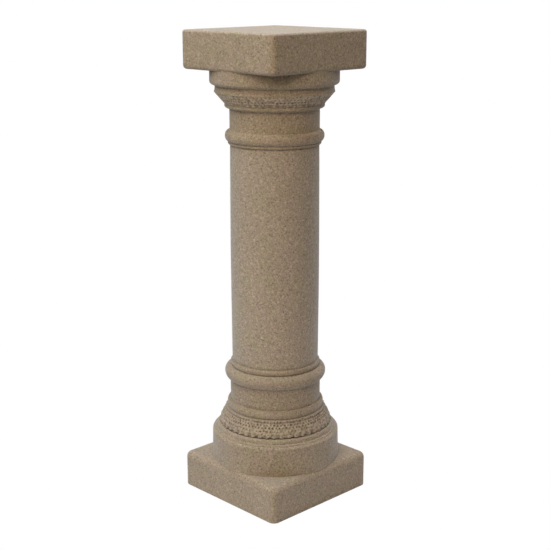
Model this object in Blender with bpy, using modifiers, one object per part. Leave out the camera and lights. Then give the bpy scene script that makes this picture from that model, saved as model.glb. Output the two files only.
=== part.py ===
"""Garden pedestal: a round column between a square plinth and a square top slab, with a narrow band
of carved leaves at its foot and at its head. It is cast in three pieces, base, shaft and capital,
which stand on one another. Metres, +Z up, with the origin at the middle of the underside."""

import math

import bmesh
import bpy
from mathutils import Vector

# Driving dimensions of the whole pedestal
HEIGHT = 0.810
SHAFT_RADIUS = 0.0754
SHAFT_SWELL = 0.0010
BED_JOINT = 0.0003

# Slabs: how far each one passes the round disc against it, its thickness and its roundings
PLINTH_MARGIN = 0.0037
PLINTH_THICK = 0.064
PLINTH_CORNER = 0.012
PLINTH_TOP_EDGE = 0.011
PLINTH_FOOT_EDGE = 0.0015
ABACUS_MARGIN = 0.0017
ABACUS_THICK = 0.0642
ABACUS_CORNER = 0.010
ABACUS_TOP_EDGE = 0.0035
ABACUS_LOWER_EDGE = 0.009

# Heights of the base's mouldings, from the plinth upwards
BASE_DISC_HEIGHT = 0.0520
BASE_STEP_HEIGHT = 0.0035
BASE_CUSHION_HEIGHT = 0.0080
BASE_SHADOW_GAP = 0.0015
BASE_LEAF_HEIGHT = 0.0225
BASE_RIDGE_HEIGHT = 0.0050
BASE_ROLL_HEIGHT = 0.0152
BASE_NECK_HEIGHT = 0.0382
BASE_TORUS_HEIGHT = 0.0230
BASE_BEAD_HEIGHT = 0.0111

# How far the base's mouldings stand out from the shaft
BASE_DISC_OUT = 0.0376
BASE_DISC_DRAFT = 0.0010
BASE_DISC_SHOULDER = 0.0050
BASE_STEP_OUT = 0.0290
BASE_CUSHION_OUT = 0.0281
BASE_LEAF_TIP_OUT = 0.0243
BASE_LEAF_ROOT_OUT = 0.0141
BASE_LEAF_BELLY = 0.0016
BASE_RIDGE_OUT = 0.0129
BASE_RIDGE_SLOPE = 0.0018
BASE_ROLL_OUT = 0.0096
BASE_NECK_OUT = 0.0039
BASE_TORUS_OUT = 0.0133
BASE_GROOVE_OUT = 0.0011
BASE_BEAD_OUT = 0.0029

# Heights of the capital's mouldings, from its bed joint upwards
CAPITAL_FILLET_HEIGHT = 0.0050
CAPITAL_ASTRAGAL_HEIGHT = 0.0185
CAPITAL_NECK_HEIGHT = 0.0365
CAPITAL_COLLAR_HEIGHT = 0.0080
CAPITAL_SHADOW_GAP = 0.0005
CAPITAL_LEAF_HEIGHT = 0.0171
CAPITAL_RIDGE_HEIGHT = 0.0106
CAPITAL_GROOVE_HEIGHT = 0.0030
CAPITAL_DISC_HEIGHT = 0.0246

# How far the capital's mouldings stand out from the shaft
CAPITAL_FILLET_OUT = 0.0028
CAPITAL_ASTRAGAL_OUT = 0.0086
CAPITAL_NECK_OUT = 0.0005
CAPITAL_COLLAR_OUT = 0.0088
CAPITAL_COLLAR_EDGE = 0.0045
CAPITAL_LEAF_TIP_OUT = 0.0098
CAPITAL_LEAF_ROOT_OUT = 0.0248
CAPITAL_LEAF_BELLY = 0.0004
CAPITAL_RIDGE_OUT = 0.0255
CAPITAL_GROOVE_OUT = 0.0246
CAPITAL_DISC_OUT = 0.0332
CAPITAL_DISC_EDGE = 0.0060

# Carving, alike in both bands
LEAF_COUNT = 48
VALLEY_DEPTH = 0.0022
EYE_DEPTH = 0.0020
EYE_PLACE = 0.25
EYE_SPREAD = 0.16
TIP_LIFT = 0.0020
TIP_UNDERCUT = 0.012
RIDGE_GAP = 0.0006

# How finely the solids are faceted, and how deep one form runs into the next where they are fused
PLAIN_SIDES = 40
COLUMNS_PER_LEAF = 3
LEAF_ROWS = 4
SHAFT_STEPS = 4
OVERLAP = 0.006

# The stone's plain colour and finish
STONE_COLOUR = (0.340, 0.270, 0.190, 1.0)
STONE_ROUGHNESS = 0.9


def clear_scene():
    for item in list(bpy.data.objects):
        bpy.data.objects.remove(item, do_unlink=True)


def new_collection(name):
    collection = bpy.data.collections.new(name)
    bpy.context.scene.collection.children.link(collection)
    return collection


def new_stone(name):
    material = bpy.data.materials.new(name)
    material.use_nodes = True
    shader = material.node_tree.nodes["Principled BSDF"]
    shader.inputs["Base Color"].default_value = STONE_COLOUR
    shader.inputs["Roughness"].default_value = STONE_ROUGHNESS
    shader.inputs["Metallic"].default_value = 0.0
    return material


def levels(start, heights):
    """The height at the top of each layer of a stack, from its foot upwards."""
    tops = []
    for height in heights:
        start += height
        tops.append(start)
    return tops


def out(projection):
    """Radius of a moulding that stands out from the shaft."""
    return SHAFT_RADIUS + projection


def half_round(upper, reach, lower, steps):
    """Points of a half-round moulding, from upper (radius, height) out to reach and back to lower."""
    points = []
    for step in range(steps + 1):
        turn = math.pi * step / steps
        share = (1 - math.cos(turn)) / 2
        inner = upper[0] + (lower[0] - upper[0]) * share
        radius = inner + (reach - inner) * math.sin(turn)
        points.append((radius, upper[1] + (lower[1] - upper[1]) * share))
    return points


def quarter_round(start, end, steps, level_start=True):
    """Points of a convex quarter-round from start to end. It leaves start level, or else upright."""
    points = []
    for step in range(steps + 1):
        turn = math.pi / 2 * step / steps
        across, along = math.sin(turn), 1 - math.cos(turn)
        if not level_start:
            across, along = along, across
        points.append((start[0] + (end[0] - start[0]) * across, start[1] + (end[1] - start[1]) * along))
    return points


def turned(name, profile, sides, collection):
    """A solid of revolution. The profile runs from the axis down the outer side and back to the axis."""
    mesh = bpy.data.meshes.new(name)
    vertices = [(radius, 0.0, height) for radius, height in profile]
    edges = [(index, index + 1) for index in range(len(profile) - 1)]
    mesh.from_pydata(vertices, edges, [])
    item = bpy.data.objects.new(name, mesh)
    collection.objects.link(item)
    screw = item.modifiers.new("Turn", "SCREW")
    screw.axis = "Z"
    screw.steps = sides
    screw.render_steps = sides
    screw.use_merge_vertices = True
    screw.merge_threshold = 0.00001
    screw.use_smooth_shade = True
    return item


def slab(name, side, bottom, thickness, corner, top_edge, lower_edge, collection):
    """A square slab with rounded upright corners. Each edge is (rounding, facets across it)."""
    form = bmesh.new()
    bmesh.ops.create_cube(form, size=1.0)
    bmesh.ops.scale(form, vec=(side, side, thickness), verts=form.verts)
    bmesh.ops.translate(form, vec=(0.0, 0.0, bottom + thickness / 2), verts=form.verts)
    upright = [edge for edge in form.edges if abs(edge.verts[0].co.z - edge.verts[1].co.z) > thickness / 2]
    bmesh.ops.bevel(form, geom=upright, offset=corner, segments=4, profile=0.5, affect="EDGES")
    for height, (rounding, facets) in ((bottom + thickness, top_edge), (bottom, lower_edge)):
        rim = [edge for edge in form.edges
               if all(abs(end.co.z - height) < thickness * 0.001 for end in edge.verts)]
        bmesh.ops.bevel(form, geom=rim, offset=rounding, segments=facets, profile=0.5, affect="EDGES")
    mesh = bpy.data.meshes.new(name)
    form.to_mesh(mesh)
    form.free()
    item = bpy.data.objects.new(name, mesh)
    collection.objects.link(item)
    return item


def bake_turning(item):
    """Turns an object's Screw into its own mesh, so that its surface can be carved."""
    bpy.context.view_layer.update()
    evaluated = item.evaluated_get(bpy.context.evaluated_depsgraph_get())
    finished = bpy.data.meshes.new_from_object(evaluated)
    item.modifiers.clear()
    plain = item.data
    item.data = finished
    bpy.data.meshes.remove(plain)


def carve_leaves(mesh, root, tip):
    """Sinks the valleys between the leaves, with an eye in each, and lifts the edge between the tips."""
    form = bmesh.new()
    form.from_mesh(mesh)
    for vertex in form.verts:
        drop = (root - vertex.co.z) / (root - tip)
        if not 0.01 < drop < 1.01:
            continue
        turn = math.atan2(vertex.co.y, vertex.co.x) * LEAF_COUNT
        valley = max(0.0, math.cos(turn))
        eye = math.exp(-((drop - EYE_PLACE) / EYE_SPREAD) ** 2)
        depth = VALLEY_DEPTH * min(1.0, 2 * drop) + EYE_DEPTH * eye
        outward = Vector((vertex.co.x, vertex.co.y, 0.0)).normalized()
        vertex.co -= outward * depth * valley
        if drop > 0.99:
            vertex.co.z += TIP_LIFT * valley
    bmesh.ops.triangulate(form, faces=form.faces, quad_method="SHORT_EDGE")
    form.to_mesh(mesh)
    form.free()


def leaf_band(name, root, tip, belly, collection):
    """A drum whose side is a ring of hanging leaves. Its root and tip are each (radius, height)."""
    profile = [(0.0, root[1])]
    for row in range(LEAF_ROWS + 1):
        share = row / LEAF_ROWS
        radius = root[0] + (tip[0] - root[0]) * share + belly * math.sin(math.pi * share)
        profile.append((radius, root[1] + (tip[1] - root[1]) * share))
    profile.append((0.0, tip[1] - TIP_UNDERCUT))
    band = turned(name, profile, LEAF_COUNT * COLUMNS_PER_LEAF, collection)
    bake_turning(band)
    carve_leaves(band.data, root[1], tip[1])
    return band


def fuse(body, additions):
    """Makes one casting of the body and the forms added to it."""
    for addition in additions:
        union = body.modifiers.new("Fuse " + addition.name, "BOOLEAN")
        union.operation = "UNION"
        union.solver = "EXACT"
        union.object = addition
        addition.hide_render = True
        addition.display_type = "WIRE"


def make_base(pedestal, construction, stone):
    """Plinth, disc, leaf band, roll, neck, torus and bead in one. Gives the height of its bed joint."""
    disc_top, step_top, cushion_top, tip, root, ridge_top, roll_top, neck_top, torus_top, bed = levels(
        PLINTH_THICK,
        (BASE_DISC_HEIGHT, BASE_STEP_HEIGHT, BASE_CUSHION_HEIGHT, BASE_SHADOW_GAP, BASE_LEAF_HEIGHT,
         BASE_RIDGE_HEIGHT, BASE_ROLL_HEIGHT, BASE_NECK_HEIGHT, BASE_TORUS_HEIGHT, BASE_BEAD_HEIGHT),
    )
    disc_radius = out(BASE_DISC_OUT)
    disc_top_radius = disc_radius - BASE_DISC_DRAFT
    base = slab("base", 2 * (disc_radius + PLINTH_MARGIN), 0.0, PLINTH_THICK, PLINTH_CORNER,
                (PLINTH_TOP_EDGE, 3), (PLINTH_FOOT_EDGE, 1), pedestal)
    base.data.materials.append(stone)

    buried = PLINTH_THICK - PLINTH_TOP_EDGE - OVERLAP
    disc = turned("base_disc", [
        (0.0, cushion_top),
        *quarter_round((out(BASE_LEAF_TIP_OUT), cushion_top), (out(BASE_CUSHION_OUT), step_top), 3),
        (out(BASE_STEP_OUT), step_top),
        *quarter_round((disc_top_radius - BASE_DISC_SHOULDER, disc_top),
                       (disc_top_radius, disc_top - BASE_DISC_SHOULDER), 3),
        (disc_radius, buried),
        (0.0, buried),
    ], PLAIN_SIDES, construction)

    leaves = leaf_band("base_leaves", (out(BASE_LEAF_ROOT_OUT), root), (out(BASE_LEAF_TIP_OUT), tip),
                       BASE_LEAF_BELLY, construction)

    neck_radius = out(BASE_NECK_OUT)
    groove = (out(BASE_GROOVE_OUT), torus_top)
    core_radius = out(BASE_LEAF_ROOT_OUT) - VALLEY_DEPTH - EYE_DEPTH
    moulding = turned("base_moulding", [
        (0.0, bed),
        *half_round((SHAFT_RADIUS, bed), out(BASE_BEAD_OUT), groove, 4),
        *half_round(groove, out(BASE_TORUS_OUT), (neck_radius, neck_top), 6)[1:],
        *half_round((neck_radius, roll_top), out(BASE_ROLL_OUT), (neck_radius, ridge_top), 5),
        (out(BASE_RIDGE_OUT) - BASE_RIDGE_SLOPE, ridge_top),
        (out(BASE_RIDGE_OUT), root + RIDGE_GAP),
        (core_radius, root + RIDGE_GAP),
        (core_radius, root - OVERLAP),
        (0.0, root - OVERLAP),
    ], PLAIN_SIDES, construction)

    fuse(base, [disc, leaves, moulding])
    return bed


def make_shaft(bottom, top, pedestal, stone):
    """A plain drum that swells very slightly at half height."""
    profile = [(0.0, top)]
    for step in range(SHAFT_STEPS + 1):
        share = step / SHAFT_STEPS
        swell = SHAFT_SWELL * math.sin(math.pi * share)
        profile.append((SHAFT_RADIUS + swell, top + (bottom - top) * share))
    profile.append((0.0, bottom))
    shaft = turned("shaft", profile, PLAIN_SIDES, pedestal)
    shaft.data.materials.append(stone)


def make_capital(pedestal, construction, stone):
    """Fillet, astragal, neck, collar, leaf band, disc and abacus in one. Gives its bed joint's height."""
    heights = (CAPITAL_FILLET_HEIGHT, CAPITAL_ASTRAGAL_HEIGHT, CAPITAL_NECK_HEIGHT,
               CAPITAL_COLLAR_HEIGHT, CAPITAL_SHADOW_GAP, CAPITAL_LEAF_HEIGHT,
               CAPITAL_RIDGE_HEIGHT, CAPITAL_GROOVE_HEIGHT, CAPITAL_DISC_HEIGHT)
    bed = HEIGHT - ABACUS_THICK - sum(heights)
    fillet_top, astragal_top, neck_top, collar_top, tip, root, ridge_top, disc_bottom, disc_top = levels(
        bed, heights)
    disc_radius = out(CAPITAL_DISC_OUT)
    capital = slab("capital", 2 * (disc_radius + ABACUS_MARGIN), disc_top, ABACUS_THICK, ABACUS_CORNER,
                   (ABACUS_TOP_EDGE, 2), (ABACUS_LOWER_EDGE, 3), pedestal)
    capital.data.materials.append(stone)

    buried = disc_top + ABACUS_LOWER_EDGE + OVERLAP
    core_radius = out(CAPITAL_LEAF_TIP_OUT) - VALLEY_DEPTH - EYE_DEPTH
    disc = turned("capital_disc", [
        (0.0, buried),
        (disc_radius, buried),
        *quarter_round((disc_radius, disc_bottom + CAPITAL_DISC_EDGE),
                       (disc_radius - CAPITAL_DISC_EDGE, disc_bottom), 3, level_start=False),
        (out(CAPITAL_GROOVE_OUT), disc_bottom),
        (out(CAPITAL_GROOVE_OUT), ridge_top),
        (out(CAPITAL_RIDGE_OUT), ridge_top),
        (out(CAPITAL_RIDGE_OUT), root + RIDGE_GAP),
        (core_radius, root + RIDGE_GAP),
        (core_radius, root - OVERLAP),
        (0.0, root - OVERLAP),
    ], PLAIN_SIDES, construction)

    leaves = leaf_band("capital_leaves", (out(CAPITAL_LEAF_ROOT_OUT), root),
                       (out(CAPITAL_LEAF_TIP_OUT), tip), CAPITAL_LEAF_BELLY, construction)

    collar_radius = out(CAPITAL_COLLAR_OUT)
    neck_radius = out(CAPITAL_NECK_OUT)
    fillet_radius = out(CAPITAL_FILLET_OUT)
    moulding = turned("capital_moulding", [
        (0.0, collar_top),
        (collar_radius, collar_top),
        *quarter_round((collar_radius, neck_top + CAPITAL_COLLAR_EDGE),
                       (collar_radius - CAPITAL_COLLAR_EDGE, neck_top), 3, level_start=False),
        (neck_radius, neck_top),
        *half_round((neck_radius, astragal_top), out(CAPITAL_ASTRAGAL_OUT), (fillet_radius, fillet_top), 6),
        (fillet_radius, bed),
        (0.0, bed),
    ], PLAIN_SIDES, construction)

    fuse(capital, [disc, leaves, moulding])
    return bed


def main():
    clear_scene()
    pedestal = new_collection("garden_pedestal")
    construction = new_collection("construction")
    stone = new_stone("cast_stone")
    base_bed = make_base(pedestal, construction, stone)
    capital_bed = make_capital(pedestal, construction, stone)
    make_shaft(base_bed + BED_JOINT, capital_bed - BED_JOINT, pedestal, stone)


main()
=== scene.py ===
"""Garden pedestal of cast stone: a round column between a square plinth and a square top slab, with a
narrow band of carved leaves at its foot and at its head. Metres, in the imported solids' own frame."""

import math

import bmesh
import bpy
import numpy as np
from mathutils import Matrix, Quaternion, Vector, noise


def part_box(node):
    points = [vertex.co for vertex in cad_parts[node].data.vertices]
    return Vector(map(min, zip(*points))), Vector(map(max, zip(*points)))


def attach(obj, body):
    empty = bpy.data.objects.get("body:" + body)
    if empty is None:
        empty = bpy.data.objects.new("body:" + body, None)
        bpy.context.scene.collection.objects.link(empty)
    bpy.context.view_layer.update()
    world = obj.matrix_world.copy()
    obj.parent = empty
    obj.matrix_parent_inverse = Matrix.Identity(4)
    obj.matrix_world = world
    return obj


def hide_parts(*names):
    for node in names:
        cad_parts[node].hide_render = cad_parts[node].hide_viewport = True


bl_info = {
    "name": "Garden Pedestal",
    "version": (1, 0, 0),
    "blender": (4, 5, 0),
    "location": "View3D > Sidebar > Pedestal",
    "description": "Dresses the solids of a garden pedestal in carved cast stone and lights it",
    "category": "Add Mesh",
}

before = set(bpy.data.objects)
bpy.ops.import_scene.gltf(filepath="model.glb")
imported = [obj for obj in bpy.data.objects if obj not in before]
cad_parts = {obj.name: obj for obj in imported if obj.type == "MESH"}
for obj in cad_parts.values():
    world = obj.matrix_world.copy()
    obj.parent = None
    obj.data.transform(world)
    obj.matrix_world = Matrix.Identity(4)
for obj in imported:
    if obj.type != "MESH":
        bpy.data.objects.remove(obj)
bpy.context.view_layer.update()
PLINTH_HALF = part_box("base")[1][0]
BASE_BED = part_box("base")[1][2]
SHAFT_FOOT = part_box("shaft")[0][2]
SHAFT_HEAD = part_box("shaft")[1][2]
ABACUS_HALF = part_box("capital")[1][0]
CAPITAL_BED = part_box("capital")[0][2]
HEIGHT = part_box("capital")[1][2]

# How finely the meshes are drawn: columns for each leaf, cuts across a slab, and the steps of a rounding
CARVED_COLUMNS = 16
PLAIN_COLUMNS = 4
LEAF_ROWS = 36
SHAFT_ROWS = 60
SLAB_CUTS = 12
SLAB_LEVELS = 7
FINE, MEDIUM, EDGE, SMALL = 18, 10, 8, 5

# How far a turned form runs on inside its slab, so that the two merge, and how near a bed the surface
# stays true
OVERLAP = 0.006
BED_REACH = 0.0004

# The base's profile from its bed downwards: places are (radius, height), _LEVEL is a height alone, and
# _IN, _OUT and _DOWN are how far a point lies from the form beside it
BED_IN, BED_DOWN = 0.0003, 0.0014
BEAD_REACH = 0.0788
BASE_GROOVE = (0.0765, 0.2329)
TORUS_FOOT_LEVEL = 0.2099
BASE_COVE = 0.0022
BASE_NECK_LEVEL = 0.1724
ROLL_GROOVE_LEVEL, ROLL_GROOVE_IN = 0.1717, 0.0006
ROLL_HEAD_LEVEL, ROLL_HEAD_OUT = 0.1710, 0.0004
ROLL_FOOT = (0.0830, 0.1565)
RIDGE_HEAD = (0.0860, 0.1565)
RIDGE_REACH = 0.0888
RIDGE_FOOT = (0.0884, 0.1517)
LOWER_ROOT = (0.0895, 0.1513)
LOWER_TIP = (0.0997, 0.1289)
LOWER_BELLY = 0.0016
UNDER_LEAVES = ((0.0915, 0.1270), (0.0955, 0.1266))
CUSHION = ((0.0985, 0.1269), (0.1035, 0.1196))
STEP = (0.1039, 0.1190)
STEP_LEVEL, STEP_IN = 0.1160, 0.0060
DISC_HEAD_LEVEL, DISC_HEAD_IN = 0.1110, 0.0010

# The small rounding at the shaft's two ends
SHAFT_EDGE = 0.0006

# The capital's profile from its disc downwards, in the same way as the base's
DISC_FOOT_LEVEL = 0.7275
UNDER_DISC_LEVEL, UNDER_DISC_IN = 0.7213, 0.0064
UPPER_RING = (
    (0.1004, 0.7209), (0.0999, 0.7200), (0.0998, 0.7190), (0.1000, 0.7160), (0.1002, 0.7140),
    (0.1005, 0.7122), (0.1008, 0.7111), (0.1011, 0.7103), (0.1012, 0.7097))
UPPER_ROOT = (0.1011, 0.7092)
UPPER_TIP = (0.0850, 0.6904)
UPPER_BELLY = 0.0004
COLLAR_GROOVE = ((0.0004, 0.6900), (0.0007, 0.6893), (0.0003, 0.6886), (0.0, 0.6881))
COLLAR_FOOT_LEVEL = 0.6868
UNDER_COLLAR_LEVEL, UNDER_COLLAR_IN = 0.6828, 0.0050
UPPER_COVE, UPPER_COVE_LEVEL = 0.0022, 0.6826
UPPER_NECK_LEVEL = 0.6475
ASTRAGAL_HEAD_LEVEL, ASTRAGAL_COVE = 0.6458, 0.0013
ASTRAGAL_FOOT = (0.0780, 0.6272)
FILLET_REACH = 0.0790
CAPITAL_FOOT = 0.0765

# The carving: what leads in under the lower tips as (inward, down), the eyes' rows as (along the leaf,
# share of the size, share of the depth), and where the crowns of each band lie as (radius, height)
LOWER_LIP = ((0.0003, -0.0004), (0.0012, -0.0005), (0.0045, 0.0002))
LOWER_EYES = ((0.13, 1.0, 0.65), (0.31, 1.1, 0.8), (0.55, 0.8, 0.45), (0.78, 0.7, 0.4))
UPPER_EYES = ((0.11, 0.9, 0.3), (0.33, 1.0, 0.4), (0.56, 1.0, 0.45), (0.80, 0.9, 0.4))
LOWER_CROWNS = ((0.0866, 0.1563), (0.0888, 0.1541), LOWER_ROOT, (0.0962, 0.1401), LOWER_TIP)
UPPER_CROWNS = ((0.1011, 0.7094), (0.0935, 0.6998), UPPER_TIP)
UPPER_CHIPS = 0.75

# How each casting differs from the common stone: a tint over its colours, and the pale wear on its
# crowns. That wear is partly painted light, which lifts the carving that lies in shade
TINTS = {"base": (0.94, 0.93, 0.91), "shaft": (1.09, 1.11, 1.16), "capital": (1.01, 0.99, 0.95)}
WEAR_AND_LIGHT = {"base": 0.40, "shaft": 0.0, "capital": 1.0}

# The floor: its colour, what it gives off, the radii between which it turns from one to the other, and
# how far it lies under the pedestal
FLOOR_GREY = (0.68, 0.68, 0.70, 1)
FLOOR_GLOW = 0.127
FLOOR_FADE = (0.25, 1.30)
FLOOR_CLEARANCE = 0.0003

# The soft lights: place, width and tint. They all face the middle of the pedestal
LIGHT_TARGET = Vector((0.0, 0.0, 0.4))
LIGHTS = {
    "side": ((-1.11, -2.02, 3.16), 2.5, (0.72, 0.86, 1.0)),
    "front": ((1.83, -1.76, 2.95), 2.1, (1.0, 0.93, 0.88)),
    "top": ((-0.60, 0.55, 4.20), 3.2, (0.64, 0.76, 1.0)),
    "low": ((0.90, -2.33, 1.75), 1.2, (1.0, 0.90, 0.79)),
    "rim": ((0.10, 2.29, 1.00), 1.0, (1.0, 1.0, 1.0)),
}


def length(name, description, default):
    """A size that the sidebar shows in the scene's unit of length."""
    return bpy.props.FloatProperty(
        name=name, description=description, default=default, min=0.0, precision=4,
        subtype="DISTANCE", unit="LENGTH")


def factor(name, description, default, high=1.0):
    """A plain number from nothing up to high."""
    return bpy.props.FloatProperty(
        name=name, description=description, default=default, min=0.0, max=high, subtype="FACTOR")


def power(name, description, default):
    """The power of a light, in watts."""
    return bpy.props.FloatProperty(
        name=name, description=description, default=default, min=0.0, unit="POWER")


def angle(name, description, degrees):
    """An angle, given in degrees."""
    return bpy.props.FloatProperty(
        name=name, description=description, default=math.radians(degrees), subtype="ANGLE",
        unit="ROTATION")


def colour(name, description, default):
    """A colour in linear values."""
    return bpy.props.FloatVectorProperty(
        name=name, description=description, default=default, min=0.0, max=1.0, size=3, subtype="COLOR")


class PedestalSlabs(bpy.types.PropertyGroup):
    """The square plinth and the square top slab."""

    plinth_thick: length("Plinth thickness", "Height of the square plinth", 0.064)
    plinth_corner: length("Plinth corners", "Rounding of the plinth's upright corners", 0.012)
    plinth_top_edge: length("Plinth top edge", "Rounding round the plinth's upper face", 0.011)
    plinth_foot_edge: length("Plinth foot edge", "Rounding where the plinth meets the ground", 0.0015)
    abacus_thick: length("Top slab thickness", "Height of the square top slab", 0.0642)
    abacus_corner: length("Top slab corners", "Rounding of the top slab's upright corners", 0.010)
    abacus_top_edge: length("Top slab upper edge", "Rounding round the top face", 0.0045)
    abacus_lower_edge: length("Top slab lower edge", "Rounding under the top slab", 0.0065)


class PedestalMouldings(bpy.types.PropertyGroup):
    """The plain turned forms, given by how far they stand from the axis."""

    shaft_radius: length("Shaft", "Radius of the shaft at its two ends", 0.0754)
    shaft_swell: length("Swell", "How much thicker the shaft is at half height", 0.0010)
    base_disc: length("Base disc", "Radius of the round disc on the plinth", 0.1130)
    base_torus: length("Base torus", "Radius of the large roll under the shaft", 0.0887)
    base_neck: length("Base neck", "Radius of the plain neck in the base", 0.0793)
    base_roll: length("Base roll", "Radius of the roll above the lower leaves", 0.0850)
    capital_astragal: length("Astragal", "Radius of the ring above the shaft", 0.0840)
    capital_neck: length("Capital neck", "Radius of the plain neck in the capital", 0.0759)
    capital_collar: length("Collar", "Radius of the collar under the upper leaves", 0.0842)
    capital_disc: length("Capital disc", "Radius of the round disc under the top slab", 0.1086)
    unevenness: length("Unevenness", "How far the cast surface wanders from true", 0.00035)


class PedestalCarving(bpy.types.PropertyGroup):
    """The two bands of hanging leaves."""

    leaves: bpy.props.IntProperty(
        name="Leaves", description="Number of leaves round each band", default=48, min=8, max=96)
    leaf_depth: length("Leaf depth", "Depth of the gaps between the leaves", 0.0010)
    eye_depth: length("Eye depth", "Depth of the drilled eyes", 0.0022)
    eye_size: length("Eye size", "Radius of a drilled eye", 0.0015)
    vein_depth: length("Vein depth", "Depth of the line down each leaf", 0.0003)
    tip_lift: length("Tip lift", "How much higher the edge lies between two tips", 0.0018)
    pebble: length("Pebbles", "Height of the small bumps along the ridge", 0.0011)
    chips: length("Chips", "How deep the carved bands are chipped", 0.0016)


class PedestalStone(bpy.types.PropertyGroup):
    """The colours and the grain of the cast stone."""

    body: colour("Stone", "Main colour of the stone", (0.345, 0.252, 0.156))
    warm: colour("Warm patches", "Colour of the pinkish patches", (0.356, 0.252, 0.164))
    olive: colour("Olive patches", "Colour of the olive patches", (0.330, 0.254, 0.144))
    pale_grain: colour("Pale grains", "Colour of the pale sand grains", (0.570, 0.425, 0.272))
    dark_grain: colour("Dark grains", "Colour of the dark sand grains", (0.140, 0.100, 0.060))
    # This dark colour goes into the carving's recesses and air holes: partly held dust, partly painted shade
    soil_and_shade: colour("Soil", "Colour of the dust held in the carving", (0.115, 0.080, 0.045))
    grain_size: length("Grain size", "Width of the larger sand grains", 0.0034)
    grain_relief: length("Grain relief", "Depth of the grain on the surface", 0.00022)
    pitting: factor("Pitting", "How many small air holes show", 0.35)
    hole_spacing: length("Hole spacing", "Width of the cells that hold one air hole each", 0.009)
    # How strongly the recesses and holes are darkened, with held dust and painted shade
    soiling_and_shade: factor("Soiling and shade", "How much dust the recesses hold", 0.75)
    roughness: factor("Roughness", "How matt the stone is", 0.90)
    dusting: factor("Dusting", "How much the powdery skin lightens grazing views", 0.25)


class PedestalStage(bpy.types.PropertyGroup):
    """Floor, lights and camera."""

    floor_width: length("Floor width", "Width of the round pale floor", 60.0)
    side_power: power("Side light", "Power of the large soft light on the left", 76.0)
    front_power: power("Front light", "Power of the soft light above the camera", 39.0)
    low_power: power("Low light", "Power of the warm light in front, left of the camera", 23.5)
    top_power: power("Top light", "Power of the soft light overhead", 177.0)
    rim_power: power("Rim light", "Power of the light behind on the right", 14.0)
    sky: factor("Surroundings", "Strength of the even light from all round", 0.075)
    lens: bpy.props.FloatProperty(
        name="Lens", description="Focal length on a 36 mm wide sensor", default=74.88,
        subtype="DISTANCE_CAMERA", unit="CAMERA")
    distance: length("Camera distance", "From the pedestal's axis, measured level", 1.920)
    camera_height: length("Camera height", "Height of the camera above the ground", 0.899)
    turn: angle("Camera turn", "How far round from the front the camera stands", 46.03)
    tilt: angle("Camera tilt", "How far the camera looks down", 14.78)
    roll: angle("Camera roll", "How far the camera leans to one side", -0.13)


GROUPS = {
    "slabs": PedestalSlabs,
    "mouldings": PedestalMouldings,
    "carving": PedestalCarving,
    "stone": PedestalStone,
    "stage": PedestalStage,
}


class PedestalSettings(bpy.types.PropertyGroup):
    """Everything that the sidebar shows."""

    slabs: bpy.props.PointerProperty(type=PedestalSlabs)
    mouldings: bpy.props.PointerProperty(type=PedestalMouldings)
    carving: bpy.props.PointerProperty(type=PedestalCarving)
    stone: bpy.props.PointerProperty(type=PedestalStone)
    stage: bpy.props.PointerProperty(type=PedestalStage)


# Profiles: points are (radius, height), from above downwards

def half_round(upper, reach, lower, steps):
    """A half-round from upper out to the radius reach and back to lower."""
    points = []
    for step in range(steps + 1):
        turn = math.pi * step / steps
        share = (1 - math.cos(turn)) / 2
        inner = upper[0] + (lower[0] - upper[0]) * share
        points.append((inner + (reach - inner) * math.sin(turn), upper[1] + (lower[1] - upper[1]) * share))
    return points


def quarter_round(start, end, steps, level_start=True):
    """A quarter-round from start to end. It leaves start level, or else upright."""
    points = []
    for step in range(steps + 1):
        turn = math.pi / 2 * step / steps
        across, along = math.sin(turn), 1 - math.cos(turn)
        if not level_start:
            across, along = along, across
        points.append((start[0] + (end[0] - start[0]) * across, start[1] + (end[1] - start[1]) * along))
    return points


def straight(start, end, steps):
    """A straight run of even steps, without its first point."""
    return [(start[0] + (end[0] - start[0]) * step / steps, start[1] + (end[1] - start[1]) * step / steps)
            for step in range(1, steps + 1)]


# Meshes made of rings

def plain_rings(profile, count):
    """A ring of count points for each point of a profile."""
    turn = np.arange(count) * 2 * math.pi / count
    circle = np.stack([np.cos(turn), np.sin(turn)], axis=1)
    return [np.column_stack([circle * radius, np.full(count, height)]) for radius, height in profile]


def bridge(upper, upper_count, lower, lower_count):
    """Faces between two rings. Where one is finer, each face takes in several of its points."""
    count = min(upper_count, lower_count)
    up, low = upper_count // count, lower_count // count
    faces = []
    for index in range(count):
        below = [lower + (index * low + step) % lower_count for step in range(low + 1)]
        above = [upper + (index * up + step) % upper_count for step in range(up, -1, -1)]
        faces.append(tuple(below + above))
    return faces


def ring_mesh(name, rings):
    """A closed mesh through rings of points, from the top one to the bottom one."""
    starts = np.cumsum([0] + [len(ring) for ring in rings])
    faces = [tuple(range(len(rings[0])))]
    for index in range(len(rings) - 1):
        faces += bridge(starts[index], len(rings[index]), starts[index + 1], len(rings[index + 1]))
    faces.append(tuple(range(starts[-1] - 1, starts[-2] - 1, -1)))
    mesh = bpy.data.meshes.new(name)
    mesh.from_pydata(np.concatenate(rings).tolist(), [], [tuple(map(int, face)) for face in faces])
    return mesh


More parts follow.
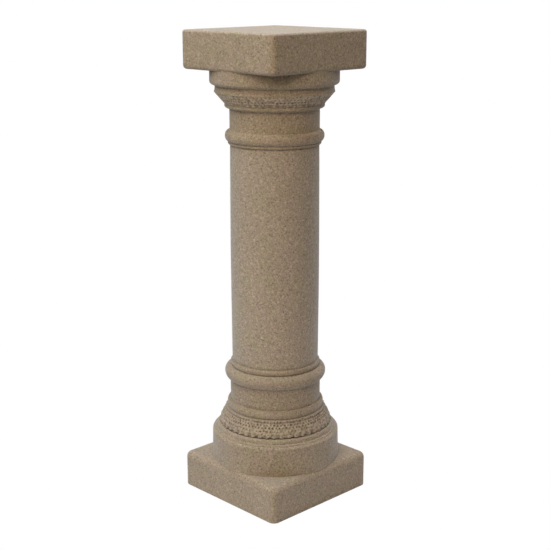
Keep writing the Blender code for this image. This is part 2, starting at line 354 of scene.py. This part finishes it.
def slab_mesh(name, half, bottom, top, corner, top_edge, lower_edge):
    """A square slab with rounded corners and edges, cut into a grid so that it can be made uneven."""
    form = bmesh.new()
    bmesh.ops.create_cube(form, size=1.0)
    bmesh.ops.scale(form, vec=(2 * half, 2 * half, top - bottom), verts=form.verts)
    bmesh.ops.translate(form, vec=(0.0, 0.0, (bottom + top) / 2), verts=form.verts)
    upright = [edge for edge in form.edges if abs(edge.verts[0].co.z - edge.verts[1].co.z) > 0.001]
    bmesh.ops.bevel(form, geom=upright, offset=corner, segments=MEDIUM, profile=0.5, affect="EDGES")
    for height, rounding in ((top, top_edge), (bottom, lower_edge)):
        rim = [edge for edge in form.edges if all(abs(end.co.z - height) < 1e-5 for end in edge.verts)]
        bmesh.ops.bevel(form, geom=rim, offset=rounding, segments=EDGE, profile=0.5, affect="EDGES")
    flat = half - corner
    cuts = [(axis, place) for axis in (0, 1) for place in np.arange(-flat, flat + 1e-6, flat / SLAB_CUTS)]
    cuts += [(2, place) for place in np.linspace(bottom + lower_edge, top - top_edge, SLAB_LEVELS)[1:-1]]
    for axis, place in cuts:
        point, normal = Vector((0.0, 0.0, 0.0)), Vector((0.0, 0.0, 0.0))
        point[axis], normal[axis] = place, 1.0
        bmesh.ops.bisect_plane(form, geom=form.verts[:] + form.edges[:] + form.faces[:],
                               dist=1e-6, plane_co=point, plane_no=normal)
    mesh = bpy.data.meshes.new(name)
    form.to_mesh(mesh)
    form.free()
    return mesh


def add_object(name, mesh):
    """Puts a mesh into the scene as an object."""
    item = bpy.data.objects.new(name, mesh)
    bpy.context.scene.collection.objects.link(item)
    return item


def merge(body, other):
    """Makes one casting of two closed forms that overlap."""
    union = body.modifiers.new("Merge", "BOOLEAN")
    union.operation = "UNION"
    union.solver = "EXACT"
    union.object = other
    bpy.context.view_layer.update()
    finished = bpy.data.meshes.new_from_object(body.evaluated_get(bpy.context.evaluated_depsgraph_get()))
    body.modifiers.clear()
    body.data = finished
    bpy.data.objects.remove(other, do_unlink=True)


def clouds(places, *layers):
    """Soft noise at each place, from layers of (fineness, share)."""
    return np.array([
        sum(noise.noise(Vector(place) * fineness) * share for fineness, share in layers) for place in places])


def roughen(mesh, depth, levels):
    """Sinks the surface here and there by up to depth. It stays true at the levels, where it beds."""
    count = len(mesh.vertices)
    places = np.empty(count * 3)
    normals = np.empty(count * 3)
    mesh.vertices.foreach_get("co", places)
    mesh.vertex_normals.foreach_get("vector", normals)
    places, normals = places.reshape(-1, 3), normals.reshape(-1, 3)
    sink = depth * np.clip(0.5 + 0.6 * clouds(places, (28, 0.65), (95, 0.35)), 0, 1)
    for level in levels:
        sink[np.abs(places[:, 2] - level) < BED_REACH] = 0
    places -= normals * sink[:, None]
    mesh.vertices.foreach_set("co", places.ravel())
    mesh.update()


def chip_carving(mesh, crowns, chips):
    """Chips the carved band between the crowns' ends by up to chips, and marks what lies deep in it,
    which takes dust and painted shade, and what stands proud, which takes pale wear and painted light.
    The crowns are (radius, height)."""
    places = np.empty(len(mesh.vertices) * 3)
    mesh.vertices.foreach_get("co", places)
    places = places.reshape(-1, 3)
    heights, radii = zip(*sorted((height, crown) for crown, height in crowns))
    inside = (places[:, 2] > heights[0] + 0.0002) & (places[:, 2] < heights[-1] - 0.0002)
    chip = np.zeros(len(places))
    chip[inside] = clouds(places[inside], (300, 0.6), (170, 0.4))
    radius = np.hypot(places[:, 0], places[:, 1])
    sunk = radius - chips * np.clip(0.5 + 1.1 * chip, 0, 1) * inside
    places[:, :2] *= (sunk / np.maximum(radius, 1e-6))[:, None]
    mesh.vertices.foreach_set("co", places.ravel())
    mesh.update()
    below = np.interp(places[:, 2], heights, radii) - sunk
    # recess marks where dust and painted shade go; proud marks where pale wear and painted light go
    marks = {"recess": np.clip((below - 0.0003) / 0.0026, 0, 1), "proud": np.clip(1 - below / 0.0012, 0, 1)}
    for name, value in marks.items():
        mesh.attributes.new(name, "FLOAT", "POINT").data.foreach_set("value", np.where(inside, value, 0))


def finish_stone(item, node, settings, levels, crowns=(), chips=0.0):
    """Makes the surface uneven, chips the carving, and dresses the piece."""
    material = make_stone(f"{node}_stone", settings.stone, TINTS[node], WEAR_AND_LIGHT[node])
    mesh = item.data
    if crowns:
        chip_carving(mesh, crowns, chips)
    roughen(mesh, settings.mouldings.unevenness, levels)
    mesh.shade_smooth()
    mesh.set_sharp_from_angle(angle=math.radians(38))
    mesh.materials.clear()
    mesh.materials.append(material)
    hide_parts(node)
    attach(item, "root")


# Carving

def rise(value, start, end):
    """Goes smoothly from 0 at start to 1 at end."""
    share = np.clip((value - start) / (end - start), 0, 1)
    return share * share * (3 - 2 * share)


def leaf_relief(across, along, pitch, slant, carving, eyes):
    """How deep the carving lies under the leaves' crowns. across is 0 at a leaf's middle and 0.5 at its
    side, and along is 0 at its root and 1 at its tip. An eye is (across, along, size, depth)."""
    # The leaf keeps its width for two thirds of its length, and then rounds off to its tip
    narrowing = np.clip(along - 0.66, 0, None) / 0.36
    half_width = 0.47 * np.sqrt(np.clip(1 - narrowing ** 2, 0.02, 1))
    crown = np.sqrt(np.clip(1 - (across / half_width) ** 2, 0, 1))
    depth = carving.leaf_depth * (1 - crown) * (0.35 + 0.65 * rise(along, 0.45, 0.9))
    # A small dart stands between each two tips
    dart = np.clip(1 - (0.5 - across) / 0.13, 0, 1) * rise(along, 0.5, 0.75)
    depth -= carving.leaf_depth * 0.6 * dart
    vein = np.exp(-(across / 0.045) ** 2) * rise(along, 0.35, 0.5) * (1 - rise(along, 0.8, 0.95))
    depth += carving.vein_depth * vein
    for eye_across, eye_along, size, sunk in eyes:
        away = np.hypot((across - eye_across) * pitch, (along - eye_along) * slant)
        depth += sunk * np.exp(-(away / size) ** 4)
    return depth * rise(along, 0.0, 0.08)


def eye_net(carving, rows):
    """Eyes in staggered rows, two for each leaf. A row is (along, share of the size, share of the depth)."""
    eyes = []
    for index, (along, size, depth) in enumerate(rows):
        for across in ((0.0, 0.5), (0.25,))[index % 2]:
            eyes.append((across, along, carving.eye_size * size, carving.eye_depth * depth))
    return eyes


def leaf_rings(root, tip, belly, lift, lip, carving, eyes):
    """The carved rows of a band of hanging leaves. lift is how far the edge rises between two tips, and
    lip holds the steps (inward, down) that lead in from the tips."""
    count = carving.leaves * CARVED_COLUMNS
    turn = np.arange(count) * 2 * math.pi / count
    across = np.abs((np.arange(count) / CARVED_COLUMNS + 0.5) % 1 - 0.5)
    circle = np.stack([np.cos(turn), np.sin(turn)], axis=1)
    slant = math.hypot(tip[0] - root[0], tip[1] - root[1])
    scallop = 1 - np.sqrt(np.clip(1 - (2 * across) ** 2, 0, 1))
    rings = []
    for row in range(LEAF_ROWS + 1):
        share = row / LEAF_ROWS
        along = share * (1 - (lift * scallop / slant) * share ** 3)
        crown = root[0] + (tip[0] - root[0]) * along + belly * np.sin(math.pi * along)
        pitch = 2 * math.pi * crown / carving.leaves
        radius = crown - leaf_relief(across, along, pitch, slant, carving, eyes)
        height = root[1] + (tip[1] - root[1]) * along
        rings.append(np.column_stack([circle * radius[:, None], height]))
    edge_radius, edge_height = radius, height
    for inward, down in lip:
        rings.append(np.column_stack([circle * (edge_radius - inward)[:, None], edge_height + down]))
    return rings


def pebbled_rings(profile, carving, height):
    """Plain rows whose middle ones swell into small bumps, two for each leaf."""
    count = carving.leaves * CARVED_COLUMNS
    turn = np.arange(count) * 2 * math.pi / count
    circle = np.stack([np.cos(turn), np.sin(turn)], axis=1)
    bumps = np.abs(np.sin(turn * carving.leaves)) ** 0.7
    rings = []
    for index, (radius, level) in enumerate(profile):
        middle = math.sin(math.pi * index / (len(profile) - 1))
        reach = radius - height * middle * (1 - bumps)
        rings.append(np.column_stack([circle * reach[:, None], np.full(count, level)]))
    return rings


# Stone

def node_group(name, inputs, outputs):
    """An empty shader group with named sockets, each given as (name, socket type, default)."""
    group = bpy.data.node_groups.new(name, "ShaderNodeTree")
    for label, kind, default in inputs:
        socket = group.interface.new_socket(name=label, in_out="INPUT", socket_type=kind)
        socket.default_value = default
    for label, kind in outputs:
        group.interface.new_socket(name=label, in_out="OUTPUT", socket_type=kind)
    return group, group.nodes.new("NodeGroupInput"), group.nodes.new("NodeGroupOutput")


def add_node(tree, kind, **values):
    """A node with its settings. A name with capital letters is one of its sockets."""
    node = tree.nodes.new(kind)
    for name, value in values.items():
        if name[0].isupper():
            node.inputs[name.replace("_", " ")].default_value = value
        else:
            setattr(node, name, value)
    return node


def blend_colours(tree, amount, first, second):
    """Mixes two colours by an amount that changes over the surface."""
    mix = add_node(tree, "ShaderNodeMix", data_type="RGBA")
    tree.links.new(amount, mix.inputs[0])
    for source, socket in ((first, mix.inputs[6]), (second, mix.inputs[7])):
        tree.links.new(source, socket)
    return mix.outputs[2]


def remap(tree, value, start, end, low, high):
    """Maps start to end onto low to high, smoothly and no further."""
    node = add_node(tree, "ShaderNodeMapRange", interpolation_type="SMOOTHSTEP")
    for index, number in enumerate((start, end, low, high), 1):
        node.inputs[index].default_value = number
    tree.links.new(value, node.inputs[0])
    return node.outputs[0]


def calculate(tree, operation, first, second):
    """One sum of two sockets or numbers."""
    node = add_node(tree, "ShaderNodeMath", operation=operation)
    for source, socket in ((first, node.inputs[0]), (second, node.inputs[1])):
        if isinstance(source, (int, float)):
            socket.default_value = source
        else:
            tree.links.new(source, socket)
    return node.outputs[0]


def object_noise(tree, scale, detail, shift):
    """Noise fixed to the object, read at a shifted place. scale is a number or a socket."""
    place = add_node(tree, "ShaderNodeTexCoord")
    move = add_node(tree, "ShaderNodeVectorMath", operation="ADD")
    move.inputs[1].default_value = (shift, shift * 0.7, shift * 1.3)
    cloud = add_node(tree, "ShaderNodeTexNoise", Detail=detail, Roughness=0.6)
    tree.links.new(place.outputs["Object"], move.inputs[0])
    tree.links.new(move.outputs[0], cloud.inputs["Vector"])
    if isinstance(scale, (int, float)):
        cloud.inputs["Scale"].default_value = scale
    else:
        tree.links.new(scale, cloud.inputs["Scale"])
    return cloud.outputs[0]


def make_patches():
    """Large soft patches where the stone turns a little warmer or greener."""
    group, given, result = node_group(
        "Stone Patches",
        [("Stone", "NodeSocketColor", (0.3, 0.2, 0.1, 1)), ("Warm", "NodeSocketColor", (0.4, 0.2, 0.1, 1)),
         ("Olive", "NodeSocketColor", (0.3, 0.3, 0.1, 1))],
        [("Colour", "NodeSocketColor")])
    warm = remap(group, object_noise(group, 42.0, 3.0, 0.0), 0.46, 0.66, 0.0, 1.0)
    olive = remap(group, object_noise(group, 34.0, 3.0, 3.1), 0.46, 0.66, 0.0, 1.0)
    mixed = blend_colours(group, warm, given.outputs["Stone"], given.outputs["Warm"])
    mixed = blend_colours(group, olive, mixed, given.outputs["Olive"])
    group.links.new(mixed, result.inputs["Colour"])
    return group


def make_sand():
    """Sand grains, some pale and some dark, with the relief that they give the surface."""
    group, given, result = node_group(
        "Sand Grain",
        [("Colour", "NodeSocketColor", (0.3, 0.2, 0.1, 1)), ("Pale", "NodeSocketColor", (0.5, 0.4, 0.3, 1)),
         ("Dark", "NodeSocketColor", (0.1, 0.1, 0.1, 1)), ("Size", "NodeSocketFloat", 0.002)],
        [("Colour", "NodeSocketColor"), ("Relief", "NodeSocketFloat")])
    scale = calculate(group, "DIVIDE", 1.0, given.outputs["Size"])
    coarse = object_noise(group, scale, 2.0, 1.7)
    fine_scale = calculate(group, "MULTIPLY", scale, 2.3)
    fine = object_noise(group, fine_scale, 1.0, 5.3)
    dark = calculate(group, "MAXIMUM", remap(group, coarse, 0.46, 0.31, 0.0, 0.75),
                     remap(group, fine, 0.43, 0.30, 0.0, 0.70))
    pale = calculate(group, "MAXIMUM", remap(group, coarse, 0.54, 0.70, 0.0, 0.65),
                     remap(group, fine, 0.57, 0.71, 0.0, 0.65))
    shade = blend_colours(group, dark, given.outputs["Colour"], given.outputs["Dark"])
    shade = blend_colours(group, pale, shade, given.outputs["Pale"])
    relief = calculate(group, "ADD", calculate(group, "MULTIPLY", coarse, 0.65),
                       calculate(group, "MULTIPLY", fine, 0.35))
    group.links.new(shade, result.inputs["Colour"])
    group.links.new(relief, result.inputs["Relief"])
    return group


def make_air_holes():
    """Small round holes that air bubbles leave in a casting, with fewer of them as Amount falls."""
    group, given, result = node_group(
        "Air Holes", [("Amount", "NodeSocketFloat", 0.3), ("Spacing", "NodeSocketFloat", 0.008)],
        [("Mask", "NodeSocketFloat")])
    place = add_node(group, "ShaderNodeTexCoord")
    cells = add_node(group, "ShaderNodeTexVoronoi", feature="F1")
    group.links.new(place.outputs["Object"], cells.inputs["Vector"])
    group.links.new(calculate(group, "DIVIDE", 1.0, given.outputs["Spacing"]), cells.inputs["Scale"])
    hole = remap(group, cells.outputs["Distance"], 0.15, 0.09, 0.0, 1.0)
    chance = add_node(group, "ShaderNodeSeparateColor")
    group.links.new(cells.outputs["Color"], chance.inputs[0])
    open_hole = calculate(group, "LESS_THAN", chance.outputs[0], given.outputs["Amount"])
    group.links.new(calculate(group, "MULTIPLY", hole, open_hole), result.inputs["Mask"])
    return group


def make_dust_and_shade():
    """Darkens the deep parts of the carving and the air holes with dust and painted shade, and lightens the
    crowns with pale wear that is partly painted light.
    """
    group, given, result = node_group(
        "Held Dust",
        [("Colour", "NodeSocketColor", (0.3, 0.2, 0.1, 1)), ("Soil", "NodeSocketColor", (0.1, 0.1, 0.1, 1)),
         ("Pale", "NodeSocketColor", (0.5, 0.4, 0.3, 1)), ("Amount", "NodeSocketFloat", 0.5),
         ("Wear", "NodeSocketFloat", 0.3), ("Holes", "NodeSocketFloat", 0.0)],
        [("Colour", "NodeSocketColor")])
    deep = add_node(group, "ShaderNodeAttribute", attribute_name="recess").outputs["Fac"]
    deep = remap(group, deep, 0.15, 0.75, 0.0, 1.0)
    proud = add_node(group, "ShaderNodeAttribute", attribute_name="proud").outputs["Fac"]
    # Pale wear on the crowns, partly painted light that lifts the carving lying in shade
    worn_and_lit = calculate(group, "MULTIPLY", remap(group, proud, 0.1, 0.9, 0.0, 1.0), given.outputs["Wear"])
    clean = blend_colours(group, worn_and_lit, given.outputs["Colour"], given.outputs["Pale"])
    # Held dust and painted shade: the recesses and air holes take the dark colour
    amount = calculate(group, "MULTIPLY", calculate(group, "MAXIMUM", deep, given.outputs["Holes"]),
                       given.outputs["Amount"])
    group.links.new(blend_colours(group, amount, clean, given.outputs["Soil"]),
                    result.inputs["Colour"])
    return group


def shared_group(name, maker):
    """A node group that all the stones use, made the first time it is asked for."""
    return bpy.data.node_groups.get(name) or maker()


def place_group(tree, group, **values):
    """A node that uses a shared group, with its own numbers, colours and links."""
    node = add_node(tree, "ShaderNodeGroup", node_tree=group)
    for name, value in values.items():
        if isinstance(value, bpy.types.NodeSocket):
            tree.links.new(value, node.inputs[name])
        else:
            node.inputs[name].default_value = value
    return node


def tinted(shade, tint):
    """A colour with a tint over it, as a socket wants it."""
    return tuple(value * share for value, share in zip(shade, tint)) + (1.0,)


def make_stone(name, stone, tint, wear_and_light):
    """Matt cast stone: patches, sand grains, air holes, dust and painted shade in its recesses, and pale wear
    on its crowns that is partly painted light.
    """
    material = bpy.data.materials.new(name)
    material.use_nodes = True
    tree = material.node_tree
    shader = tree.nodes["Principled BSDF"]
    patches = place_group(
        tree, shared_group("Stone Patches", make_patches), Stone=tinted(stone.body, tint),
        Warm=tinted(stone.warm, tint), Olive=tinted(stone.olive, tint))
    sand = place_group(
        tree, shared_group("Sand Grain", make_sand), Colour=patches.outputs["Colour"],
        Pale=tinted(stone.pale_grain, tint), Dark=tinted(stone.dark_grain, tint), Size=stone.grain_size)
    holes = place_group(
        tree, shared_group("Air Holes", make_air_holes), Amount=stone.pitting,
        Spacing=stone.hole_spacing)
    # Darkens recesses and holes with dust and painted shade, and lightens crowns with wear and painted light
    dust_and_shade = place_group(
        tree, shared_group("Held Dust", make_dust_and_shade), Colour=sand.outputs["Colour"],
        Soil=tinted(stone.soil_and_shade, tint), Pale=tinted(stone.pale_grain, tint), Amount=stone.soiling_and_shade,
        Wear=wear_and_light, Holes=holes.outputs["Mask"])
    surface = calculate(tree, "SUBTRACT", sand.outputs["Relief"], holes.outputs["Mask"])
    bump = add_node(tree, "ShaderNodeBump", Strength=1.0, Distance=stone.grain_relief)
    tree.links.new(surface, bump.inputs["Height"])
    tree.links.new(bump.outputs[0], shader.inputs["Normal"])
    tree.links.new(dust_and_shade.outputs["Colour"], shader.inputs["Base Color"])
    tree.links.new(remap(tree, sand.outputs["Relief"], 0.3, 0.7, stone.roughness + 0.05,
                         stone.roughness - 0.05), shader.inputs["Roughness"])
    shader.inputs["Metallic"].default_value = 0.0
    shader.inputs["Sheen Weight"].default_value = stone.dusting
    shader.inputs["Sheen Roughness"].default_value = 0.5
    return material


# Pieces

class PEDESTAL_OT_base(bpy.types.Operator):
    """Builds the base: plinth, disc, lower leaves, roll, neck, torus and bead in one casting"""

    bl_idname = "pedestal.base"
    bl_label = "Base"

    def execute(self, context):
        settings = context.scene.pedestal
        slabs, forms, carving = settings.slabs, settings.mouldings, settings.carving
        plain = carving.leaves * PLAIN_COLUMNS
        neck, disc = forms.base_neck, forms.base_disc
        torus_foot = (neck + BASE_COVE, TORUS_FOOT_LEVEL)
        neck_head = (neck, TORUS_FOOT_LEVEL - BASE_COVE)
        upper = [(forms.shaft_radius - BED_IN, BASE_BED), (forms.shaft_radius, BASE_BED - BED_DOWN)]
        upper += half_round(upper[-1], BEAD_REACH, BASE_GROOVE, MEDIUM)[1:]
        upper += half_round(BASE_GROOVE, forms.base_torus, torus_foot, FINE)[1:]
        upper += quarter_round(torus_foot, neck_head, SMALL)[1:]
        upper += straight(neck_head, (neck, BASE_NECK_LEVEL), SMALL)
        upper += [(neck - ROLL_GROOVE_IN, ROLL_GROOVE_LEVEL)]
        upper += half_round((neck + ROLL_HEAD_OUT, ROLL_HEAD_LEVEL), forms.base_roll, ROLL_FOOT, FINE)
        ridge = half_round(RIDGE_HEAD, RIDGE_REACH, RIDGE_FOOT, EDGE)
        leaves = leaf_rings(LOWER_ROOT, LOWER_TIP, LOWER_BELLY, carving.tip_lift, LOWER_LIP, carving,
                            eye_net(carving, LOWER_EYES))
        step_head = (disc - STEP_IN, STEP_LEVEL)
        disc_head = (disc - DISC_HEAD_IN, DISC_HEAD_LEVEL)
        lower = [*UNDER_LEAVES, *quarter_round(*CUSHION, MEDIUM), *quarter_round(STEP, step_head, SMALL)]
        lower += quarter_round(step_head, disc_head, MEDIUM)[1:]
        lower += straight(disc_head, (disc, slabs.plinth_thick), FINE)
        lower += [(disc, slabs.plinth_thick - slabs.plinth_top_edge - OVERLAP)]
        rings = plain_rings(upper, plain) + pebbled_rings(ridge, carving, carving.pebble)
        rings += leaves + plain_rings(lower, plain)
        turning = add_object("base_turning", ring_mesh("base_turning", rings))
        base = add_object("stone_base", slab_mesh(
            "stone_base", PLINTH_HALF, 0.0, slabs.plinth_thick, slabs.plinth_corner,
            slabs.plinth_top_edge, slabs.plinth_foot_edge))
        merge(base, turning)
        finish_stone(base, "base", settings, (0.0, BASE_BED), LOWER_CROWNS, carving.chips)
        return {"FINISHED"}


class PEDESTAL_OT_shaft(bpy.types.Operator):
    """Builds the plain shaft, which swells very slightly at half height"""

    bl_idname = "pedestal.shaft"
    bl_label = "Shaft"

    def execute(self, context):
        settings = context.scene.pedestal
        forms = settings.mouldings
        profile = [(forms.shaft_radius - SHAFT_EDGE, SHAFT_HEAD)]
        for row in range(SHAFT_ROWS + 1):
            share = row / SHAFT_ROWS
            height = SHAFT_HEAD - SHAFT_EDGE + (SHAFT_FOOT - SHAFT_HEAD + 2 * SHAFT_EDGE) * share
            profile.append((forms.shaft_radius + forms.shaft_swell * math.sin(math.pi * share), height))
        profile.append((forms.shaft_radius - SHAFT_EDGE, SHAFT_FOOT))
        rings = plain_rings(profile, settings.carving.leaves * PLAIN_COLUMNS)
        shaft = add_object("stone_shaft", ring_mesh("stone_shaft", rings))
        finish_stone(shaft, "shaft", settings, (SHAFT_FOOT, SHAFT_HEAD))
        return {"FINISHED"}


class PEDESTAL_OT_capital(bpy.types.Operator):
    """Builds the capital: fillet, astragal, neck, collar, upper leaves, disc and top slab in one casting"""

    bl_idname = "pedestal.capital"
    bl_label = "Capital"

    def execute(self, context):
        settings = context.scene.pedestal
        slabs, forms, carving = settings.slabs, settings.mouldings, settings.carving
        plain = carving.leaves * PLAIN_COLUMNS
        underside = HEIGHT - slabs.abacus_thick
        disc, neck, collar = forms.capital_disc, forms.capital_neck, forms.capital_collar
        disc_foot = (disc, DISC_FOOT_LEVEL)
        upper = [(disc, underside + slabs.abacus_lower_edge + OVERLAP)]
        upper += straight(upper[-1], disc_foot, MEDIUM)
        upper += quarter_round(
            disc_foot, (disc - UNDER_DISC_IN, UNDER_DISC_LEVEL), MEDIUM, level_start=False)[1:]
        upper += UPPER_RING
        leaves = leaf_rings(UPPER_ROOT, UPPER_TIP, UPPER_BELLY, 0.0, (), carving,
                            eye_net(carving, UPPER_EYES))
        neck_head = (neck, UPPER_COVE_LEVEL - UPPER_COVE)
        neck_foot = (neck, UPPER_NECK_LEVEL)
        astragal_head = (neck + ASTRAGAL_COVE, ASTRAGAL_HEAD_LEVEL)
        lower = [(collar - inward, level) for inward, level in COLLAR_GROOVE]
        lower += quarter_round((collar, COLLAR_FOOT_LEVEL), (collar - UNDER_COLLAR_IN, UNDER_COLLAR_LEVEL),
                               MEDIUM, level_start=False)
        lower += quarter_round((neck + UPPER_COVE, UPPER_COVE_LEVEL), neck_head, SMALL)
        lower += straight(neck_head, neck_foot, SMALL)
        lower += quarter_round(neck_foot, astragal_head, SMALL, level_start=False)[1:]
        lower += half_round(astragal_head, forms.capital_astragal, ASTRAGAL_FOOT, FINE)[1:]
        lower += half_round(ASTRAGAL_FOOT, FILLET_REACH, (CAPITAL_FOOT, CAPITAL_BED), MEDIUM)[1:]
        rings = plain_rings(upper, plain) + leaves + plain_rings(lower, plain)
        turning = add_object("capital_turning", ring_mesh("capital_turning", rings))
        capital = add_object("stone_capital", slab_mesh(
            "stone_capital", ABACUS_HALF, underside, HEIGHT, slabs.abacus_corner,
            slabs.abacus_top_edge, slabs.abacus_lower_edge))
        merge(capital, turning)
        finish_stone(capital, "capital", settings, (CAPITAL_BED, HEIGHT), UPPER_CROWNS,
                     carving.chips * UPPER_CHIPS)
        return {"FINISHED"}


# Stage

def soft_light(name, place, width, watts, tint):
    """A square soft light that faces the middle of the pedestal."""
    lamp = bpy.data.lights.new(name, "AREA")
    lamp.shape = "SQUARE"
    lamp.size = width
    lamp.energy = watts
    lamp.color = tint
    item = bpy.data.objects.new(name, lamp)
    item.location = place
    item.rotation_euler = (LIGHT_TARGET - Vector(place)).to_track_quat("-Z", "Y").to_euler()
    bpy.context.scene.collection.objects.link(item)


def camera_picks(tree, seen, other):
    """A grey for what the camera sees directly, and another for what lights the object."""
    path = add_node(tree, "ShaderNodeLightPath")
    mix = add_node(tree, "ShaderNodeMix", data_type="RGBA")
    tree.links.new(path.outputs["Is Camera Ray"], mix.inputs[0])
    mix.inputs[6].default_value = (other, other, other, 1)
    mix.inputs[7].default_value = (seen, seen, seen, 1)
    return mix.outputs[2]


def floor_material():
    """A matt pale floor near the pedestal, which turns into an even glow further out. The camera sees the
    glow all over, so the ground is an even white."""
    pale = bpy.data.materials.new("pale_floor")
    pale.use_nodes = True
    tree = pale.node_tree
    shader = tree.nodes["Principled BSDF"]
    shader.inputs["Base Color"].default_value = FLOOR_GREY
    shader.inputs["Roughness"].default_value = 1.0
    shader.inputs["Specular IOR Level"].default_value = 0.0
    glow = add_node(tree, "ShaderNodeEmission")
    tree.links.new(camera_picks(tree, 1.0, FLOOR_GLOW), glow.inputs["Color"])
    place = add_node(tree, "ShaderNodeTexCoord")
    reach = add_node(tree, "ShaderNodeVectorMath", operation="LENGTH")
    tree.links.new(place.outputs["Object"], reach.inputs[0])
    direct = add_node(tree, "ShaderNodeLightPath").outputs["Is Camera Ray"]
    away = remap(tree, reach.outputs["Value"], *FLOOR_FADE, 0.0, 1.0)
    fade = add_node(tree, "ShaderNodeMixShader")
    tree.links.new(calculate(tree, "MAXIMUM", away, direct), fade.inputs[0])
    tree.links.new(shader.outputs[0], fade.inputs[1])
    tree.links.new(glow.outputs[0], fade.inputs[2])
    tree.links.new(fade.outputs[0], tree.nodes["Material Output"].inputs[0])
    return pale


def lay_floor(width):
    """A round floor just under the pedestal."""
    form = bmesh.new()
    bmesh.ops.create_circle(form, cap_ends=True, segments=96, radius=width / 2)
    mesh = bpy.data.meshes.new("floor")
    form.to_mesh(mesh)
    form.free()
    mesh.materials.append(floor_material())
    floor = add_object("floor", mesh)
    floor.location.z = -FLOOR_CLEARANCE


def surround(scene, strength):
    """White surroundings for the camera, which light the object only a little."""
    world = bpy.data.worlds.new("surroundings")
    world.use_nodes = True
    scene.world = world
    sky = world.node_tree.nodes["Background"]
    world.node_tree.links.new(camera_picks(world.node_tree, 1.0, strength), sky.inputs["Color"])


def set_camera(scene, stage):
    """Puts the camera in the photo's viewpoint, with its turn, tilt and roll."""
    lens = bpy.data.cameras.new("camera")
    lens.sensor_width = 36.0
    lens.lens = stage.lens
    camera = bpy.data.objects.new("camera", lens)
    scene.collection.objects.link(camera)
    ahead = Vector((-math.sin(stage.turn), math.cos(stage.turn), 0.0))
    camera.location = -ahead * stage.distance + Vector((0.0, 0.0, stage.camera_height))
    view = ahead * math.cos(stage.tilt) - Vector((0.0, 0.0, math.sin(stage.tilt)))
    camera.rotation_mode = "QUATERNION"
    camera.rotation_quaternion = view.to_track_quat("-Z", "Y") @ Quaternion((0.0, 0.0, 1.0), stage.roll)
    scene.camera = camera


class PEDESTAL_OT_stage(bpy.types.Operator):
    """Lays the pale floor and sets the lights and the camera"""

    bl_idname = "pedestal.stage"
    bl_label = "Stage"

    def execute(self, context):
        scene, stage = context.scene, context.scene.pedestal.stage
        lay_floor(stage.floor_width)
        surround(scene, stage.sky)
        for name, (place, width, tint) in LIGHTS.items():
            soft_light(f"{name}_light", place, width, getattr(stage, f"{name}_power"), tint)
        set_camera(scene, stage)
        scene.view_settings.view_transform = "Standard"
        return {"FINISHED"}


class PEDESTAL_PT_sidebar(bpy.types.Panel):
    """Sizes, colours and build buttons"""

    bl_idname = "PEDESTAL_PT_sidebar"
    bl_label = "Garden Pedestal"
    bl_space_type = "VIEW_3D"
    bl_region_type = "UI"
    bl_category = "Pedestal"

    def draw(self, context):
        settings = context.scene.pedestal
        for name, group in GROUPS.items():
            box = self.layout.box()
            box.label(text=name.capitalize())
            values = getattr(settings, name)
            for field in group.__annotations__:
                box.prop(values, field)
        for operator in OPERATORS:
            self.layout.operator(operator.bl_idname)


OPERATORS = (PEDESTAL_OT_base, PEDESTAL_OT_shaft, PEDESTAL_OT_capital, PEDESTAL_OT_stage)
CLASSES = (*GROUPS.values(), PedestalSettings, *OPERATORS, PEDESTAL_PT_sidebar)


def register():
    for item in CLASSES:
        bpy.utils.register_class(item)
    bpy.types.Scene.pedestal = bpy.props.PointerProperty(type=PedestalSettings)


def unregister():
    del bpy.types.Scene.pedestal
    for item in reversed(CLASSES):
        bpy.utils.unregister_class(item)


def main():
    register()
    bpy.ops.pedestal.base()
    bpy.ops.pedestal.shaft()
    bpy.ops.pedestal.capital()
    bpy.ops.pedestal.stage()


if __name__ == "__main__":
    main()
